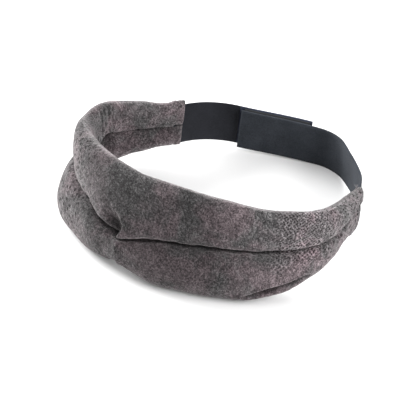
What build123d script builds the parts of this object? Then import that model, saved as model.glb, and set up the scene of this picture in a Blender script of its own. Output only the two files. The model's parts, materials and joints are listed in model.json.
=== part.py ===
"""Wrap-around eye massager mask: two padded rolls a side on a leaning ring, a hook-and-loop head strap,
and a battery-driven vibration unit sewn inside the brow rolls.

Everything is placed on RING, the plane of the worn ring. Local x runs to the wearer's left, local y to the
back of the head and local z up the mask. Local zero is the middle of the brow line over the nose.
A place on the padding is given by its side, the distance s from the nose along the brow line, and how far
it lies outward of that line and up from the middle of the strap."""

import os
from bisect import bisect_right
from math import atan2, cos, degrees, hypot, radians, sin

from build123d import *

os.makedirs("parts", exist_ok=True)

# ---------------------------------------------------------------- driving dimensions (mm, degrees)
RING_TILT = 11.95  # the ring leans back until the strap rests on the table
RING_LEAN = 1.0  # and to the side until both cheek rolls rest on it
RING_ORIGIN = (-12.20, -75.825, 56.12)  # puts the bottom centre of the whole box at the origin

STRAP_WIDTH = 38.0
STRAP_THICK = 1.5
PATCH_THICK = 0.9  # hook or loop tape
FABRIC = 1.8  # plush cover
SEWN_GAP = 0.9  # clearance between pieces that only lie together

# Brow line of each half: first heading, turning sense, then (length, turn) of each stretch away from the nose.
BROW_LINE = {
    "right": (9.5, 1, ((103.0, 25.5), (63.0, 61.5), (37.0, 0.0))),
    "left": (179.0, -1, ((52.0, 2.0), (98.0, 120.5), (53.0, 0.0))),
}
NOSE_START = 4.0  # where each half's padding begins
ROLL_END = 184.0  # where the rolls stop and the end binding starts
HALF_LENGTH = 197.0

# Profile of the padding at distance s: rim, crease and hem as (out, up), then half thicknesses of the rolls.
PROFILE = (
    (4.0, (1.0, 21.0), (20.0, -26.0), (15.0, -54.0), 8.0, 7.5),
    (25.0, (0.5, 22.0), (15.5, -19.0), (14.0, -58.5), 9.5, 11.0),
    (54.0, (0.0, 22.0), (8.5, -16.0), (13.0, -57.8), 10.0, 12.0),
    (85.0, (0.0, 22.0), (5.0, -12.5), (11.0, -54.5), 9.5, 12.5),
    (110.0, (-1.0, 22.0), (3.0, -8.0), (7.5, -48.0), 9.0, 11.5),
    (135.0, (-1.0, 21.5), (2.5, -4.0), (5.5, -37.5), 8.5, 9.5),
    (160.0, (0.0, 21.0), (2.0, -2.0), (3.0, -29.0), 8.0, 8.0),
    (184.0, (0.0, 20.0), (0.0, -1.0), (0.0, -21.0), 6.5, 6.5),
)
# The tight left bend pulls its padding in: where, over what half length, and how far for crease, hem and thickness.
LEFT_TUCK = (115.0, 48.0, 6.5, 3.0, 1.0)
CREASE_HALF = 2.0  # half the height kept for the sewn crease
REST_CUT = 0.0  # height of the table

# Each strap end leaves its half's bound end at its own heading, turning the given way over each stretch.
STRAP_LINE = {
    "left": (75.0, -1, ((4.9, 0.0), (48.0, 47.1), (63.7, 4.3))),
    "right": (103.8, 1, ((28.1, 31.1), (48.6, 12.1), (32.0, 56.0), (68.9, 4.6))),
}
PEEL_AT = 53.1  # distance along the outer strap where its free end can start to peel
OVERLAP_AT = 116.2  # distance along the inner strap where the outer one's free end lies
PEEL_MARGIN = 2.0  # plain strap between each tape's end and the strap's own end

# Vibration pods and control module, both inside the brow rolls.
POD_AT = 38.0
POD_DIA = 21.0
POD_HIGH = 7.8
POD_WALL = 1.2
POD_ROUND = 0.9
MOTOR_DIA = 5.0
MOTOR_LONG = 11.0
SHAFT_DIA = 0.8
SHAFT_CLEARANCE = 0.05
WEIGHT_RADIUS = 2.6
WEIGHT_LONG = 4.5
MODULE_AT = 83.0
MODULE = (38.0, 19.0, 8.2)
MODULE_WALL = 1.2
BUTTON_DIA = 8.0
BUTTON_TRAVEL = 0.8
BUTTON_AT = (-8.0, 0.0)
LEAD_DIA = 1.6

RING = Plane(Location(RING_ORIGIN, (-RING_TILT, -RING_LEAN, 0)))


# ---------------------------------------------------------------- places on the ring
def follow(line, s, start=(0.0, 0.0)):
    """Ring-plane point and heading, in degrees, at distance s along a line of arcs and straights."""
    heading, sense, stretches = line
    x, y = start
    for length, turn in stretches:
        step = min(s, length)
        turned = sense * turn * step / length
        chord = step if turn == 0 else 2 * length / radians(turn) * sin(radians(abs(turned)) / 2)
        x += chord * cos(radians(heading + turned / 2))
        y += chord * sin(radians(heading + turned / 2))
        heading += turned
        s -= step
    return x + s * cos(radians(heading)), y + s * sin(radians(heading)), heading


def walk(side, s):
    """Ring-plane point and heading of the brow line at distance s from the nose."""
    return follow(BROW_LINE[side], s)


def directions(side, s):
    """Row-frame unit vectors: away from the nose, and outward from the ring."""
    heading = walk(side, s)[2]
    sense = BROW_LINE[side][1]
    along = RING.x_dir * cos(radians(heading)) + RING.y_dir * sin(radians(heading))
    outward = RING.x_dir * sense * sin(radians(heading)) - RING.y_dir * sense * cos(radians(heading))
    return along, outward


def station(side, s):
    """Plane across the padding at s: local x is outward, local y is up."""
    x, y, _ = walk(side, s)
    along, outward = directions(side, s)
    return Plane(RING.from_local_coords((x, y, 0)), x_dir=outward, z_dir=along * -BROW_LINE[side][1])


def facing(side, s, out, up):
    """Plane that faces outward at (s, out, up). Local y is up the mask."""
    across = station(side, s)
    return Plane(across.from_local_coords((out, up, 0)), x_dir=across.z_dir * -1, z_dir=across.x_dir)


def profile(side, s):
    """Profile values at s, in line between the rows of PROFILE, with the left bend tucked in."""
    row = min(max(bisect_right([r[0] for r in PROFILE], s), 1), len(PROFILE) - 1)
    low, high = PROFILE[row - 1], PROFILE[row]
    share = (s - low[0]) / (high[0] - low[0])

    def between(a, b):
        return tuple(i + (j - i) * share for i, j in zip(a, b))

    middle, reach, crease_in, hem_in, thinner = LEFT_TUCK
    bend = cos(radians(90 * min(abs(s - middle) / reach, 1))) ** 2 if side == "left" else 0
    crease, hem = between(low[2], high[2]), between(low[3], high[3])
    thick = [value - thinner * bend for value in between(low[4:], high[4:])]
    return (between(low[1], high[1]), (crease[0] - crease_in * bend, crease[1]),
            (hem[0] - hem_in * bend, hem[1]), thick)


def roll_section(side, s, roll):
    """Centre (out, up), half thickness, half height and lean of a roll's oval section at s."""
    rim, crease, hem, thick = profile(side, s)
    top, bottom = (rim, (crease[0], crease[1] + CREASE_HALF)) if roll == "brow" else (
        (crease[0], crease[1] - CREASE_HALF), hem)
    centre = ((top[0] + bottom[0]) / 2, (top[1] + bottom[1]) / 2)
    half_high = hypot(bottom[0] - top[0], top[1] - bottom[1]) / 2
    lean = degrees(atan2(bottom[0] - top[0], top[1] - bottom[1]))
    return centre, thick[0 if roll == "brow" else 1], half_high, lean


STATIONS = (13.0, 25.0, 54.0, 78.0, 102.0, 122.0, 142.0, 165.0)


def oval(plane, centre, half_thick, half_high, lean):
    """Oval face of four matching arcs, so that lofts between ovals don't twist."""
    with BuildSketch(plane) as face:
        with BuildLine():
            for quarter in range(4):
                EllipticalCenterArc(centre, half_thick, half_high, start_angle=90 * quarter, arc_size=90,
                                    rotation=lean)
        make_face()
    return face.sketch


def roll_sections(side, roll, shrink, first, last):
    """Oval sections of one roll, each set in by shrink, ready to be lofted."""
    ovals = []
    for s in (first, *STATIONS, last):
        centre, half_thick, half_high, lean = roll_section(side, s, roll)
        ovals.append(oval(station(side, s), centre, half_thick - shrink, half_high - shrink, lean))
    return ovals


def save(part, label):
    part.label = label
    export_step(part, f"parts/{label}.step")
    return part


# ---------------------------------------------------------------- vibration pod and module places
def brow_middle(side, s):
    """Plane in the middle of the brow roll at s, facing outward and turned to follow the roll."""
    before, middle, after = (
        station(side, at).from_local_coords((*roll_section(side, at, "brow")[0], 0))
        for at in (s - 12, s, s + 12))
    up = station(side, s).rotated((0, 0, roll_section(side, s, "brow")[3])).y_dir
    across = (after - before).normalized() * BROW_LINE[side][1]
    return Plane(middle, x_dir=across, z_dir=across.cross(up))


POD_PLANE = {side: brow_middle(side, POD_AT) for side in BROW_LINE}
MODULE_PLANE = brow_middle("right", MODULE_AT)
POCKET_GAP = 0.5
POD_POCKET_DEEP = 14.0
LEAD_SLOT = 4.0


def lead_channel(plane, start, end):
    """Straight channel for the lead in the foam, along the plane's local x."""
    with BuildPart() as channel:
        with BuildSketch(plane):
            with Locations(((start + end) / 2, 0)):
                Rectangle(abs(end - start), LEAD_SLOT)
        extrude(amount=LEAD_SLOT / 2, both=True)
    return channel.part


# ---------------------------------------------------------------- padded halves
def make_cover(side, roll):
    """Plush tube of one roll, open at the nose and at the end binding."""
    with BuildPart() as cover:
        loft(roll_sections(side, roll, 0, NOSE_START, ROLL_END))
        loft(roll_sections(side, roll, FABRIC, NOSE_START, ROLL_END), mode=Mode.SUBTRACT)
        if roll == "cheek":
            split(bisect_by=Plane.XY.offset(REST_CUT), keep=Keep.TOP)
        if side == "right" and roll == "brow":  # slit on the face side that the module slides out of
            with BuildSketch(MODULE_PLANE.offset(-MODULE[2])):
                Rectangle(MODULE[0] + 4, 1.2)
            extrude(amount=-12, mode=Mode.SUBTRACT)
    return save(cover.part, f"{side}_{roll}_cover")


def make_brow_foam(side):
    """Memory-foam core of the brow roll, with pockets open to the face side for what it carries."""
    toward_nose = -BROW_LINE[side][1]
    with BuildPart() as foam:
        loft(roll_sections(side, "brow", FABRIC + SEWN_GAP, NOSE_START + 1, ROLL_END - 2))
        with BuildSketch(POD_PLANE[side].offset(POD_HIGH / 2 + POCKET_GAP)):
            Circle(POD_DIA / 2 + POCKET_GAP)
        extrude(amount=-POD_POCKET_DEEP - POD_HIGH, mode=Mode.SUBTRACT)
        add(lead_channel(POD_PLANE[side], 0, toward_nose * 45), mode=Mode.SUBTRACT)
        if side == "right":
            with BuildSketch(MODULE_PLANE.offset(MODULE[2] / 2 + POCKET_GAP)):
                Rectangle(MODULE[0] + 2 * POCKET_GAP, MODULE[1] + 2 * POCKET_GAP)
            extrude(amount=-POD_POCKET_DEEP - MODULE[2], mode=Mode.SUBTRACT)
            add(lead_channel(POD_PLANE[side], 0, 28), mode=Mode.SUBTRACT)
            with BuildSketch(MODULE_PLANE):  # room round the push button
                with Locations(BUTTON_AT):
                    Circle(BUTTON_DIA / 2 + 1)
            extrude(amount=MODULE[2] / 2 + 1.8, mode=Mode.SUBTRACT)
    return save(foam.part, f"{side}_brow_foam")


def make_cheek_foam(side):
    with BuildPart() as foam:
        loft(roll_sections(side, "cheek", FABRIC + SEWN_GAP, NOSE_START + 1, ROLL_END - 2))
    return save(foam.part, f"{side}_cheek_foam")


CREASE_WELT = (3.6, 1.2)  # thickness and height of the pinched fabric


def make_crease(side):
    """Pinched and stitched fabric that ties the brow roll to the cheek roll."""
    with BuildPart() as welt:
        for s in (NOSE_START, *STATIONS, ROLL_END):
            with BuildSketch(station(side, s)):
                with Locations(profile(side, s)[1]):
                    Rectangle(*CREASE_WELT)
        loft()
    return save(welt.part, f"{side}_crease_seam")


BINDING = (9.0, 42.0)  # thickness and height of the bound end
BINDING_START = ROLL_END + SEWN_GAP


def make_end_binding(side):
    """Folded plush that closes the rolls' end and takes the strap."""
    with BuildPart() as binding:
        with BuildSketch(station(side, HALF_LENGTH)):
            RectangleRounded(*BINDING, 3.0)
        extrude(amount=(HALF_LENGTH - BINDING_START) * BROW_LINE[side][1])
        with BuildSketch(station(side, HALF_LENGTH)):
            Rectangle(STRAP_THICK + 0.2, STRAP_WIDTH + 0.2)
        extrude(amount=(HALF_LENGTH - BINDING_START) * BROW_LINE[side][1], mode=Mode.SUBTRACT)
    return save(binding.part, f"{side}_end_binding")


def make_strap_anchor(side):
    """Sewn-in end of the strap, held in the binding."""
    with BuildPart() as anchor:
        with BuildSketch(station(side, HALF_LENGTH - 0.1)):
            Rectangle(STRAP_THICK, STRAP_WIDTH)
        extrude(amount=(HALF_LENGTH - BINDING_START - 1) * BROW_LINE[side][1])
    return save(anchor.part, f"{side}_strap_anchor")


STITCH = 0.6


def make_bar_tack(side):
    """Box of stitching on the outer face of the bound end."""
    middle = (HALF_LENGTH + BINDING_START) / 2
    with BuildPart() as tack:
        with BuildSketch(facing(side, middle, BINDING[0] / 2 + 0.02, 0)):
            Rectangle(8, 30)
            Rectangle(8 - 2 * STITCH, 30 - 2 * STITCH, mode=Mode.SUBTRACT)
        extrude(amount=STITCH / 2)
    return save(tack.part, f"{side}_box_stitch")


# ---------------------------------------------------------------- nose bridge
BRIDGE_HALF = 1.4


def make_nose_bridge():
    """Pinched plush gusset over the nose, between the two halves."""
    across = Plane(RING.origin, x_dir=RING.y_dir * -1, z_dir=RING.x_dir * -1)
    with BuildPart() as bridge:
        with BuildSketch(across):
            with BuildLine():
                Spline((8.0, 20.0), (13.0, 2.0), (20.0, -26.0))
                Spline((20.0, -26.0), (18.5, -38.0), (13.0, -49.0))
                Line((13.0, -49.0), (8.0, -48.0))
                Spline((8.0, -48.0), (12.0, -28.0), (2.0, 0.0), (-4.0, 18.0))
                Line((-4.0, 18.0), (8.0, 20.0))
            make_face()
        extrude(amount=BRIDGE_HALF, both=True)
    return save(bridge.part, "nose_bridge")


# ---------------------------------------------------------------- strap and closure
HINGE_GAP = 0.9  # between the bound end and the strap that flexes at it
PEEL_GAP = 0.6


def strap_point(side, s):
    """Ring-plane point and heading at distance s along that side's strap."""
    return follow(STRAP_LINE[side], s, walk(side, HALF_LENGTH)[:2])


def band(side, start, end, thick, width, outward=0.0):
    """Flat tape along that side's strap from start to end, set outward of its middle."""
    sense = STRAP_LINE[side][1]
    with BuildPart() as tape:
        with BuildLine(RING) as path:
            done = 0.0
            for length, turn in STRAP_LINE[side][2]:
                first, last = max(start, done), min(end, done + length)
                done += length
                if last - first < 0.01:
                    continue
                x, y, heading = strap_point(side, first)
                side_way = radians(heading - 90 * sense)
                begin = (x + outward * cos(side_way), y + outward * sin(side_way))
                way = (cos(radians(heading)), sin(radians(heading)))
                if turn == 0:
                    Line(begin, (begin[0] + way[0] * (last - first), begin[1] + way[1] * (last - first)))
                else:
                    radius = length / radians(turn) + outward
                    JernArc(start=begin, tangent=way, radius=radius, arc_size=sense * turn * (last - first) / length)
        with BuildSketch(Plane(path.line @ 0, x_dir=RING.z_dir, z_dir=path.line % 0)):
            Rectangle(width, thick)
        sweep(path=path.line)
    return tape.part


OUTER_END = sum(length for length, _ in STRAP_LINE["left"][2])
INNER_END = sum(length for length, _ in STRAP_LINE["right"][2])
TAPE_OFFSET = STRAP_THICK / 2 + PATCH_THICK / 2
TAPE_WIDTH = STRAP_WIDTH - 2


def make_straps():
    """Outer strap, its peeling free end and the inner strap, with loop and hook tape where they overlap."""
    save(band("left", HINGE_GAP, PEEL_AT, STRAP_THICK, STRAP_WIDTH), "left_strap")
    save(band("left", PEEL_AT + PEEL_GAP, OUTER_END, STRAP_THICK, STRAP_WIDTH), "closure_tab")
    save(band("left", PEEL_AT + 2 * PEEL_MARGIN, OUTER_END - PEEL_MARGIN, PATCH_THICK, TAPE_WIDTH,
              -TAPE_OFFSET), "loop_patch")
    save(band("right", HINGE_GAP, INNER_END, STRAP_THICK, STRAP_WIDTH), "right_strap")
    save(band("right", OVERLAP_AT + PEEL_MARGIN, INNER_END - PEEL_MARGIN, PATCH_THICK, TAPE_WIDTH,
              TAPE_OFFSET), "hook_patch")


# ---------------------------------------------------------------- vibration pods
INNER_HIGH = POD_HIGH - 2 * POD_WALL
LID_HIGH = 2.4
MOTOR_SET_BACK = 3.5  # motor's middle, off the pod's middle, so that motor and weight balance in the room


def make_pod(side):
    """Round capsule with a small motor that spins an off-centre weight."""
    plane = POD_PLANE[side]
    floor = plane.offset(-POD_HIGH / 2)
    ceiling = plane.offset(POD_HIGH / 2)
    with BuildPart() as base:
        with BuildSketch(floor):
            Circle(POD_DIA / 2)
        extrude(amount=POD_HIGH - LID_HIGH - 0.05)
        fillet(base.faces().sort_by(Axis(plane.origin, plane.z_dir))[0].edges(), radius=POD_ROUND)
        with BuildSketch(floor.offset(POD_WALL)):
            Circle(POD_DIA / 2 - POD_WALL)
        extrude(amount=POD_HIGH, mode=Mode.SUBTRACT)
        with BuildSketch(floor.offset(POD_WALL)):  # cradle ribs under the motor
            with Locations((-MOTOR_SET_BACK - 4, 0), (-MOTOR_SET_BACK + 4, 0)):
                Rectangle(1.2, MOTOR_DIA + 2)
        extrude(amount=INNER_HIGH / 2 - 0.5)
        axis_start = Plane(plane.from_local_coords((-POD_DIA / 2 + POD_WALL, 0, 0)), z_dir=plane.x_dir)
        with BuildSketch(axis_start):
            Circle(MOTOR_DIA / 2 + 0.05)
        extrude(amount=POD_DIA - 2 * POD_WALL, mode=Mode.SUBTRACT)
    save(base.part, f"{side}_pod_base")
    with BuildPart() as lid:
        with BuildSketch(ceiling):
            Circle(POD_DIA / 2)
        extrude(amount=-POD_WALL)
        with BuildSketch(ceiling.offset(-POD_WALL)):
            Circle(POD_DIA / 2)
            Circle(POD_DIA / 2 - POD_WALL, mode=Mode.SUBTRACT)
        extrude(amount=-(LID_HIGH - POD_WALL))
        fillet(lid.faces().sort_by(Axis(plane.origin, plane.z_dir))[-1].edges(), radius=POD_ROUND)
    save(lid.part, f"{side}_pod_lid")
    back = Plane(plane.from_local_coords((-MOTOR_SET_BACK - MOTOR_LONG / 2, 0, 0)), z_dir=plane.x_dir)
    with BuildPart() as motor:
        with BuildSketch(back):
            Circle(MOTOR_DIA / 2)
        extrude(amount=MOTOR_LONG)
        with BuildSketch(back.offset(2)):
            Circle(SHAFT_DIA / 2 + SHAFT_CLEARANCE)
        extrude(amount=MOTOR_LONG, mode=Mode.SUBTRACT)
    save(motor.part, f"{side}_motor")
    with BuildPart() as shaft:
        with BuildSketch(back.offset(2.3)):
            Circle(SHAFT_DIA / 2)
        extrude(amount=MOTOR_LONG - 2.3 + 1.0 + WEIGHT_LONG + 0.4)
    save(shaft.part, f"{side}_motor_shaft")
    with BuildPart() as weight:
        with BuildSketch(back.offset(MOTOR_LONG + 1.0)):
            Circle(WEIGHT_RADIUS)
            with Locations((WEIGHT_RADIUS / 2 + 0.7, 0)):
                Rectangle(WEIGHT_RADIUS, 2 * WEIGHT_RADIUS, mode=Mode.SUBTRACT)
            Circle(SHAFT_DIA / 2, mode=Mode.SUBTRACT)
        extrude(amount=WEIGHT_LONG)
    save(weight.part, f"{side}_eccentric_weight")
    return plane


# ---------------------------------------------------------------- control module
BOARD = (34.0, 15.6, 0.8)
CELL = (26.0, 14.0, 2.8)
LID_PLATE = 1.2
SWITCH_SIDE = 5.0
SWITCH_HIGH = 0.9
PLUNGER_HIGH = 0.4
BUTTON_SKIRT = 0.7


def make_module():
    """Flat control unit: cell, board, switch and socket in a two-part case with one push button."""
    plane = MODULE_PLANE
    long, high, deep = MODULE
    floor = plane.offset(-deep / 2)
    inside = (long - 2 * MODULE_WALL, high - 2 * MODULE_WALL)
    board_level = MODULE_WALL + CELL[2] + 0.3
    socket_at = (BOARD[0] / 2 - 3.4, 0.0)
    with BuildPart() as base:
        with BuildSketch(floor):
            RectangleRounded(long, high, 3.0)
        extrude(amount=deep - LID_PLATE - 0.05)
        with BuildSketch(floor.offset(MODULE_WALL)):
            RectangleRounded(*inside, 1.8)
        extrude(amount=deep, mode=Mode.SUBTRACT)
        side_wall = Plane(floor.from_local_coords((long / 2, 0, 0)), x_dir=floor.y_dir, z_dir=floor.x_dir)
        with BuildSketch(side_wall):  # mouth for the charging socket
            with Locations((0, board_level + BOARD[2] + 0.85)):
                RectangleRounded(9.2, 1.9, 0.8)
        extrude(amount=-2 * MODULE_WALL, mode=Mode.SUBTRACT)
    save(base.part, "module_base")
    with BuildPart() as lid:
        with BuildSketch(floor.offset(deep - LID_PLATE)):
            RectangleRounded(long, high, 3.0)
            with Locations(BUTTON_AT):
                Circle(BUTTON_DIA / 2 + 0.2, mode=Mode.SUBTRACT)
        extrude(amount=LID_PLATE)
    save(lid.part, "module_lid")
    with BuildPart() as cell:
        with BuildSketch(floor.offset(MODULE_WALL + 0.1)):
            RectangleRounded(CELL[0], CELL[1], 1.2)
        extrude(amount=CELL[2])
    save(cell.part, "battery_cell")
    with BuildPart() as board:
        with BuildSketch(floor.offset(board_level)):
            RectangleRounded(BOARD[0], BOARD[1], 1.0)
        extrude(amount=BOARD[2])
    save(board.part, "circuit_board")
    switch_level = board_level + BOARD[2]
    with BuildPart() as switch:
        with BuildSketch(floor.offset(switch_level)):
            with Locations(BUTTON_AT):
                Rectangle(SWITCH_SIDE, SWITCH_SIDE)
        extrude(amount=SWITCH_HIGH)
    save(switch.part, "tact_switch")
    with BuildPart() as socket:
        with BuildSketch(floor.offset(switch_level)):
            with Locations(socket_at):
                Rectangle(6.8, 8.6)
        extrude(amount=1.6)
        mouth = Plane(floor.from_local_coords((BOARD[0] / 2, 0, switch_level + 0.8)),
                      x_dir=floor.y_dir, z_dir=floor.x_dir)
        with BuildSketch(mouth):
            Rectangle(7.8, 1.0)
        extrude(amount=-5.5, mode=Mode.SUBTRACT)
    save(socket.part, "charge_socket")
    button_foot = switch_level + SWITCH_HIGH + BUTTON_TRAVEL + 0.1
    with BuildPart() as button:
        with BuildSketch(floor.offset(button_foot)):
            with Locations(BUTTON_AT):
                Circle(BUTTON_DIA / 2)
        extrude(amount=deep + 0.7 - button_foot)
        fillet(button.faces().sort_by(Axis(plane.origin, plane.z_dir))[-1].edges(), radius=0.35)
    save(button.part, "power_button")
    return plane


# ---------------------------------------------------------------- leads
def make_lead(label, plane, start, end):
    """Straight two-core lead in its foam channel, along the plane's local x."""
    foot = Plane(plane.from_local_coords((start, 0, 0)), z_dir=plane.x_dir * (1 if end > start else -1))
    with BuildPart() as lead:
        with BuildSketch(foot):
            Circle(LEAD_DIA / 2)
        extrude(amount=abs(end - start))
    save(lead.part, label)


# ---------------------------------------------------------------- build
for half in BROW_LINE:
    make_cover(half, "brow")
    make_cover(half, "cheek")
    make_brow_foam(half)
    make_cheek_foam(half)
    make_crease(half)
    make_end_binding(half)
    make_strap_anchor(half)
    make_bar_tack(half)
    make_pod(half)
make_nose_bridge()
make_straps()
make_module()
make_lead("right_lead", POD_PLANE["right"], POD_DIA / 2 + 0.1, 24.0)
make_lead("nose_lead_right", POD_PLANE["right"], -POD_DIA / 2 - 0.1, -36.0)
make_lead("nose_lead_left", POD_PLANE["left"], POD_DIA / 2 + 0.1, 34.0)
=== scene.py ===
"""Plush eye massager mask with its elastic head strap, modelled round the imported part. Lengths here are in
millimetres on the ring plane (x to the wearer's left, y to the back, z up the mask) until they are placed."""

import json
import math

import bpy
import numpy as np
from mathutils import Euler, Matrix, Vector, noise


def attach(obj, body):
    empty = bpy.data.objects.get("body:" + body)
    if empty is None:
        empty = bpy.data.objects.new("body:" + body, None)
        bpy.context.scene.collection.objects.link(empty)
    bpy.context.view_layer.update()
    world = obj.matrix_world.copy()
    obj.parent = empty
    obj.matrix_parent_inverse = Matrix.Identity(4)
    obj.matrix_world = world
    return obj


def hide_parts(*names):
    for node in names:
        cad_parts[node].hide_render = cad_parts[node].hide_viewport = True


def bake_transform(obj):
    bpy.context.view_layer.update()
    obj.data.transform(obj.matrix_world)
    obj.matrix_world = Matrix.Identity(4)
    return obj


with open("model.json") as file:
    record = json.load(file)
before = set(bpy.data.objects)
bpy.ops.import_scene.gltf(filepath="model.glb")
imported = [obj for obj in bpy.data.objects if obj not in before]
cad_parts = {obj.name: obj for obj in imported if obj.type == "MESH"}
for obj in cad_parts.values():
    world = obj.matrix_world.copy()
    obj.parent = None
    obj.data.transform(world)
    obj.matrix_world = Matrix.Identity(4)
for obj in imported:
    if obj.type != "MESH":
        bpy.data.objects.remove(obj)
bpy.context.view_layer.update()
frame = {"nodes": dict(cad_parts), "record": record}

# ---------------------------------------------------------------- the ring, as in the CAD
RING_TILT, RING_LEAN = 11.95, 1.0  # degrees
RING_ORIGIN = (-12.20, -75.825, 56.12)
RING = (Matrix.Translation(RING_ORIGIN)
        @ Euler((math.radians(-RING_TILT), 0, 0)).to_matrix().to_4x4()
        @ Euler((0, math.radians(-RING_LEAN), 0)).to_matrix().to_4x4())
RING_NP = np.array(RING)
# heading at the nose in degrees, which way it turns, and its stretches as (length, degrees turned)
BROW_LINE = {
    "right": (9.5, 1, ((103.0, 25.5), (63.0, 61.5), (37.0, 0.0))),
    "left": (179.0, -1, ((52.0, 2.0), (98.0, 120.5), (53.0, 0.0))),
}
HALF_LENGTH = 197.0
# the brow line is drawn this far each way, in these steps
LINE_REACH, LINE_STEP = 230, 0.5
# how far its corners are rounded off at the crease and at the rim, and how far from the nose the two meet
CREASE_SPREAD, RIM_SPREAD, PATHS_MEET = 8.0, 24.0, 70
# columns: distance from the nose, rim, outer crease and hem as (out, up), half thickness of the two rolls
CREASE_OUT, HEM_OUT, BROW_THICK, CHEEK_THICK = 3, 5, 7, 8
PROFILE = np.array((
    (0.0, 1.0, 20.6, 21.5, -27.5, 16.0, -53.0, 7.6, 7.0),
    (4.0, 1.0, 21.0, 20.0, -26.0, 15.0, -54.0, 8.0, 7.5),
    (25.0, 0.5, 22.0, 15.5, -19.0, 14.0, -58.5, 9.5, 11.0),
    (54.0, 0.0, 22.0, 8.5, -16.0, 13.0, -57.8, 10.0, 12.0),
    (85.0, 0.0, 22.0, 5.0, -12.5, 11.0, -54.5, 9.5, 12.5),
    (110.0, -1.0, 22.0, 3.0, -8.0, 7.5, -48.0, 9.0, 11.5),
    (135.0, -1.0, 21.5, 2.5, -4.0, 5.5, -37.5, 8.5, 9.5),
    (160.0, 0.0, 21.0, 2.0, -2.0, 3.0, -29.0, 8.0, 8.0),
    (184.0, 0.0, 20.0, 0.0, -1.0, 0.0, -21.0, 6.3, 6.3),
    (197.0, 0.0, 20.3, 0.0, -0.5, 0.0, -20.3, 4.6, 4.6),
))
# where the tight left bend pulls in, over how far each way, and by how much at its middle
TUCK_AT, TUCK_REACH = 106.0, 50.0
TUCK_BY = {CREASE_OUT: 8.0, HEM_OUT: 6.0, BROW_THICK: 2.6, CHEEK_THICK: 1.5}
# and on the way from the nose into it: what moves, by how much, at what distance, and how far each way
LEFT_SHIFTS = ((CREASE_OUT, -7.0, -68, 24), (HEM_OUT, -2.2, -58, 18), (CHEEK_THICK, 1.2, -92, 22))
# the right hem stands in a little, between these distances
RIGHT_HEM_IN, RIGHT_HEM_SPAN = 3.0, (147, 180, 14)


def smoothstep(low, high, x):
    t = np.clip((np.asarray(x, float) - low) / (high - low), 0, 1)
    return t * t * (3 - 2 * t)


def follow(line, s, start=(0.0, 0.0)):
    """Ring-plane point and heading, in degrees, at distance s along a line of arcs and straights."""
    heading, sense, stretches = line
    x, y = start
    for length, turn in stretches:
        step = min(s, length)
        turned = sense * turn * step / length
        if turn == 0:
            chord = step
        else:
            chord = 2 * length / math.radians(turn) * math.sin(math.radians(abs(turned)) / 2)
        x += chord * math.cos(math.radians(heading + turned / 2))
        y += chord * math.sin(math.radians(heading + turned / 2))
        heading += turned
        s -= step
    return x + s * math.cos(math.radians(heading)), y + s * math.sin(math.radians(heading)), heading


def smooth_line(spread):
    """The whole brow line from left end to right end, its corners rounded off over that spread."""
    step = LINE_STEP
    reach = np.arange(-LINE_REACH, LINE_REACH + step, step)
    heading = np.array([follow(BROW_LINE["right" if s > 0 else "left"], abs(s))[2] - (0 if s > 0 else 180)
                        for s in reach])
    side = int(4 * spread / step)
    weights = np.exp(-0.5 * (np.arange(-side, side + 1) * step / spread) ** 2)
    weights /= weights.sum()
    heading = np.radians(np.convolve(np.pad(heading, side, mode="edge"), weights, mode="valid"))
    xy = np.zeros((len(reach), 2))
    ahead = np.stack((np.cos(heading), np.sin(heading)), 1) * step
    xy[1:] = np.cumsum((ahead[1:] + ahead[:-1]) / 2, axis=0)
    return reach, xy - xy[len(reach) // 2], heading


def brow_line(s, line):
    """Point and outward direction of the whole brow line at signed distance s, right of the nose positive."""
    reach, xy, heading = line
    turn = np.interp(s, reach, heading)
    point = np.array([np.interp(s, reach, xy[:, k]) for k in (0, 1)])
    return point, np.array((math.sin(turn), -math.cos(turn)))


def level_with(line, other, at):
    """line, moved so that it meets the other where they are that far each way from the nose."""
    gaps = [brow_line(s, other)[0] - brow_line(s, line)[0] for s in (-at, at)]
    shift = np.stack([np.interp(line[0], (-at, at), (gaps[0][k], gaps[1][k])) for k in (0, 1)], 1)
    return line[0], line[1] + shift, line[2]


CREASE_PATH = smooth_line(CREASE_SPREAD)
RIM_PATH = level_with(smooth_line(RIM_SPREAD), CREASE_PATH, PATHS_MEET)


def to_world(points):
    """Ring-plane millimetres to metres in the row frame."""
    points = np.asarray(points, float)
    return (points @ RING_NP[:3, :3].T + RING_NP[:3, 3]) / 1000


def mesh_object(name, vertices, faces, uvs=None, smooth=True):
    mesh = bpy.data.meshes.new(name)
    mesh.from_pydata([tuple(v) for v in vertices], [], [tuple(f) for f in faces])
    mesh.update()
    if smooth:
        mesh.polygons.foreach_set("use_smooth", [True] * len(mesh.polygons))
    if uvs is not None:
        layer = mesh.uv_layers.new(name="UVMap")
        index = np.empty(len(mesh.loops), int)
        mesh.loops.foreach_get("vertex_index", index)
        layer.data.foreach_set("uv", np.asarray(uvs, float)[index].ravel())
    obj = bpy.data.objects.new(name, mesh)
    bpy.context.scene.collection.objects.link(obj)
    return obj


def grid_faces(columns, rows, close_rows=True):
    faces = []
    last = rows if close_rows else rows - 1
    for i in range(columns - 1):
        for j in range(last):
            k = (j + 1) % rows
            faces.append((i * rows + j, i * rows + k, (i + 1) * rows + k, (i + 1) * rows + j))
    return faces


def coordinates(obj):
    co = np.empty(len(obj.data.vertices) * 3)
    obj.data.vertices.foreach_get("co", co)
    return co.reshape(-1, 3)


# ---------------------------------------------------------------- materials
TURN_LONG = 40.0  # length of one turn round the roll in the skin's UV map, where the other axis is distance


def material(name):
    mat = bpy.data.materials.new(name)
    mat.use_nodes = True
    nodes, links = mat.node_tree.nodes, mat.node_tree.links
    shader = nodes["Principled BSDF"]
    return mat, nodes, links, shader


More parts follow.
